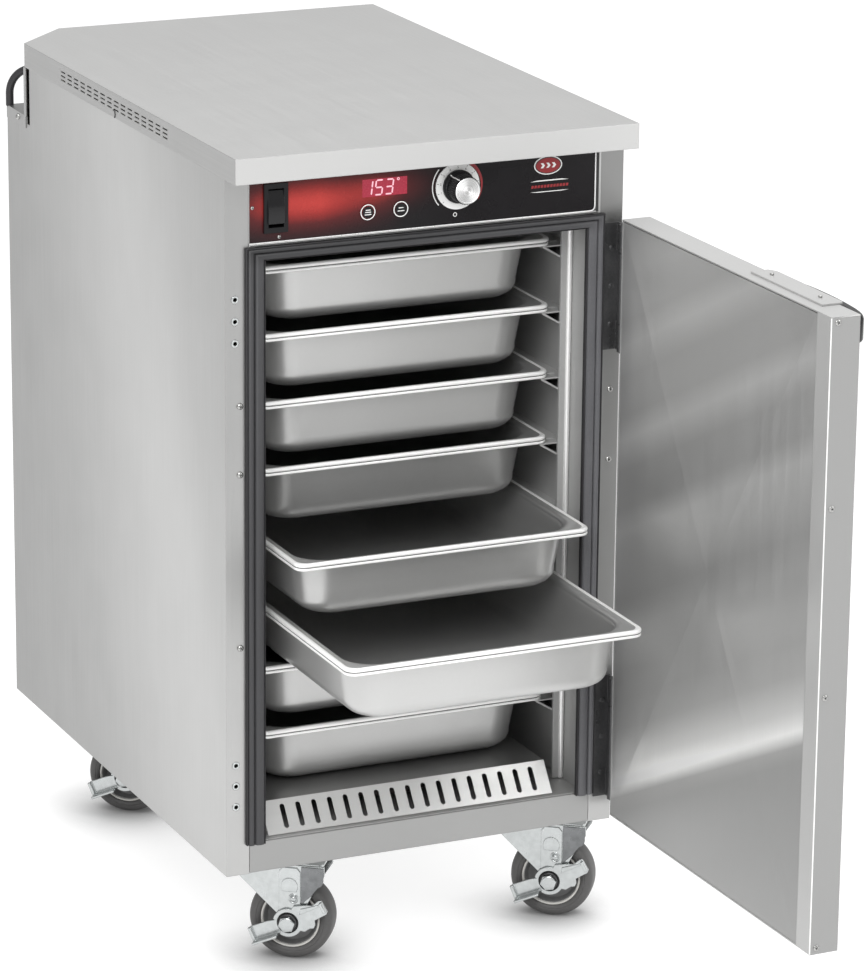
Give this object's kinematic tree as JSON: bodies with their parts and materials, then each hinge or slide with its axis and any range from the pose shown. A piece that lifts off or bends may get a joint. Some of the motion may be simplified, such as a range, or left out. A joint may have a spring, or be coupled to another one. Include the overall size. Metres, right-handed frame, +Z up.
{
  "type": "food holding cabinet",
  "caption": "Heated stainless steel food holding cabinet on swivel casters, with a hinged door and slide-out pans.",
  "frame": {"origin": "on the floor, under the middle of the cabinet's whole footprint with its door standing open", "axes": "+Z up, +X to the right seen from the front, -Y out of the front"},
  "size_m": [0.4804, 1.0774, 0.873],
  "materials": {
    "cabinet_steel": "satin brushed stainless",
    "bright_steel": "bright brushed stainless",
    "chamber_steel": "satin stainless, inside the chamber",
    "door_skin_steel": "polished brushed stainless",
    "pan_steel": "satin drawn stainless",
    "overlay_film": "black film, red at its left end",
    "black_plastic": "moulded black",
    "display_red": "red lit window",
    "dial_white": "white printed disc",
    "knob_metal": "spun brushed aluminium",
    "zinc": "bright zinc plate",
    "glass_wool": "glass wool",
    "element_steel": "heat-tinted sheath",
    "gasket_rubber": "matt rubber",
    "cord_rubber": "matt rubber cord",
    "hinge_black": "black",
    "hub_plastic": "dark hub",
    "tyre_rubber": "dark grey tread"
  },
  "bodies": {
    "cabinet": {"top_cover": "cabinet_steel", "side_left": "cabinet_steel", "side_right": "cabinet_steel", "rear_panel": "cabinet_steel", "base_pan": "cabinet_steel", "front_sill": "bright_steel", "control_panel": "cabinet_steel", "overlay": "overlay_film", "control_tray": "cabinet_steel", "rocker_bezel": "black_plastic", "display_lens": "display_red", "dial_plate": "dial_white", "thermostat": "zinc", "liner": "chamber_steel", "insulation": "glass_wool", "pan_racks": "chamber_steel", "heater_cover": "bright_steel", "heating_element": "element_steel", "door_gasket": "gasket_rubber", "body_screws": "zinc", "hinge_inserts": "zinc", "corner_pocket": "cabinet_steel", "power_cord": "cord_rubber", "leaf_stile": "hinge_black", "caster_mounts": "zinc"},
    "door": {"door_shell": "cabinet_steel", "door_skin": "door_skin_steel", "door_core": "glass_wool", "door_fasteners": "zinc", "hood_plate": "cabinet_steel", "door_grip": "black_plastic", "leaf_door": "hinge_black"},
    "rocker": {"rocker": "black_plastic"},
    "button_left": {"button_left": "black_plastic"},
    "button_right": {"button_right": "black_plastic"},
    "dial": {"dial_knob": "knob_metal"},
    "pan_1": {"pan_1": "pan_steel"},
    "pan_2": {"pan_2": "pan_steel"},
    "pan_3": {"pan_3": "pan_steel"},
    "pan_4": {"pan_4": "pan_steel"},
    "pan_5": {"pan_5": "pan_steel"},
    "pan_6": {"pan_6": "pan_steel"},
    "pan_7": {"pan_7": "pan_steel"},
    "pan_8": {"pan_8": "pan_steel"},
    "caster_fl": {"fork_fl": "zinc"},
    "roller_fl": {"wheel_fl": "hub_plastic", "tyre_fl": "tyre_rubber"},
    "lever_fl": {"brake_fl": "zinc"},
    "caster_fr": {"fork_fr": "zinc"},
    "roller_fr": {"wheel_fr": "hub_plastic", "tyre_fr": "tyre_rubber"},
    "lever_fr": {"brake_fr": "zinc"},
    "caster_rl": {"fork_rl": "zinc"},
    "roller_rl": {"wheel_rl": "hub_plastic", "tyre_rl": "tyre_rubber"},
    "lever_rl": {"brake_rl": "zinc"},
    "caster_rr": {"fork_rr": "zinc"},
    "roller_rr": {"wheel_rr": "hub_plastic", "tyre_rr": "tyre_rubber"},
    "lever_rr": {"brake_rr": "zinc"}
  },
  "joints": [
    {"name": "door_swing", "type": "hinge", "parent": "cabinet", "child": "door", "pos_m": [0.1922, -0.10836, 0.453], "axis": [0, 0, 1], "range_deg": [-91, 89]},
    {"name": "pan_1_slide", "type": "slide", "parent": "cabinet", "child": "pan_1", "axis": [0, -1, 0], "range_m": [0, 0.4]},
    {"name": "pan_2_slide", "type": "slide", "parent": "cabinet", "child": "pan_2", "axis": [0, -1, 0], "range_m": [0, 0.4]},
    {"name": "pan_3_slide", "type": "slide", "parent": "cabinet", "child": "pan_3", "axis": [0, -1, 0], "range_m": [0, 0.4]},
    {"name": "pan_4_slide", "type": "slide", "parent": "cabinet", "child": "pan_4", "axis": [0, -1, 0], "range_m": [0, 0.4]},
    {"name": "pan_5_slide", "type": "slide", "parent": "cabinet", "child": "pan_5", "axis": [0, -1, 0], "range_m": [-0.1255, 0.124]},
    {"name": "pan_6_slide", "type": "slide", "parent": "cabinet", "child": "pan_6", "axis": [0, -1, 0], "range_m": [-0.2505, 0.246]},
    {"name": "pan_7_slide", "type": "slide", "parent": "cabinet", "child": "pan_7", "axis": [0, -1, 0], "range_m": [0, 0.4]},
    {"name": "pan_8_slide", "type": "slide", "parent": "cabinet", "child": "pan_8", "axis": [0, -1, 0], "range_m": [0, 0.4]},
    {"name": "rocker_tilt", "type": "hinge", "parent": "cabinet", "child": "rocker", "pos_m": [-0.1838, -0.08836, 0.814], "axis": [1, 0, 0], "range_deg": [0, 14]},
    {"name": "button_left_press", "type": "slide", "parent": "cabinet", "child": "button_left", "axis": [0, 1, 0], "range_m": [0, 0.0015]},
    {"name": "button_right_press", "type": "slide", "parent": "cabinet", "child": "button_right", "axis": [0, 1, 0], "range_m": [0, 0.0015]},
    {"name": "dial_turn", "type": "hinge", "parent": "cabinet", "child": "dial", "pos_m": [0.0123, -0.09696, 0.8186], "axis": [0, -1, 0], "range_deg": [-135, 135]},
    {"name": "turn_fork_fl", "type": "hinge", "parent": "cabinet", "child": "caster_fl", "pos_m": [-0.1698, -0.01736, 0.106], "axis": [0, 0, 1], "continuous": true},
    {"name": "turn_wheel_fl", "type": "hinge", "parent": "caster_fl", "child": "roller_fl", "pos_m": [-0.13987, -0.03911, 0.0445], "axis": [-0.5878, -0.809, 0], "continuous": true},
    {"name": "turn_lever_fl", "type": "hinge", "parent": "caster_fl", "child": "lever_fl", "pos_m": [-0.13987, -0.03911, 0.0445], "axis": [-0.5878, -0.809, 0], "range_deg": [0, 25]},
    {"name": "turn_fork_fr", "type": "hinge", "parent": "cabinet", "child": "caster_fr", "pos_m": [0.1302, -0.01736, 0.106], "axis": [0, 0, 1], "continuous": true},
    {"name": "turn_wheel_fr", "type": "hinge", "parent": "caster_fr", "child": "roller_fr", "pos_m": [0.16013, -0.03911, 0.0445], "axis": [-0.5878, -0.809, 0], "continuous": true},
    {"name": "turn_lever_fr", "type": "hinge", "parent": "caster_fr", "child": "lever_fr", "pos_m": [0.16013, -0.03911, 0.0445], "axis": [-0.5878, -0.809, 0], "range_deg": [0, 25]},
    {"name": "turn_fork_rl", "type": "hinge", "parent": "cabinet", "child": "caster_rl", "pos_m": [-0.1718, 0.44964, 0.106], "axis": [0, 0, 1], "continuous": true},
    {"name": "turn_wheel_rl", "type": "hinge", "parent": "caster_rl", "child": "roller_rl", "pos_m": [-0.14187, 0.42789, 0.0445], "axis": [-0.5878, -0.809, 0], "continuous": true},
    {"name": "turn_lever_rl", "type": "hinge", "parent": "caster_rl", "child": "lever_rl", "pos_m": [-0.14187, 0.42789, 0.0445], "axis": [-0.5878, -0.809, 0], "range_deg": [0, 25]},
    {"name": "turn_fork_rr", "type": "hinge", "parent": "cabinet", "child": "caster_rr", "pos_m": [0.1322, 0.44964, 0.106], "axis": [0, 0, 1], "continuous": true},
    {"name": "turn_wheel_rr", "type": "hinge", "parent": "caster_rr", "child": "roller_rr", "pos_m": [0.16213, 0.42789, 0.0445], "axis": [-0.5878, -0.809, 0], "continuous": true},
    {"name": "turn_lever_rr", "type": "hinge", "parent": "caster_rr", "child": "lever_rr", "pos_m": [0.16213, 0.42789, 0.0445], "axis": [-0.5878, -0.809, 0], "range_deg": [0, 25]}
  ],
  "couplings": [
    {"joint": "pan_5_slide", "follows": "door_swing", "m_per_rad": 0.078703},
    {"joint": "pan_6_slide", "follows": "door_swing", "m_per_rad": 0.15741}
  ]
}
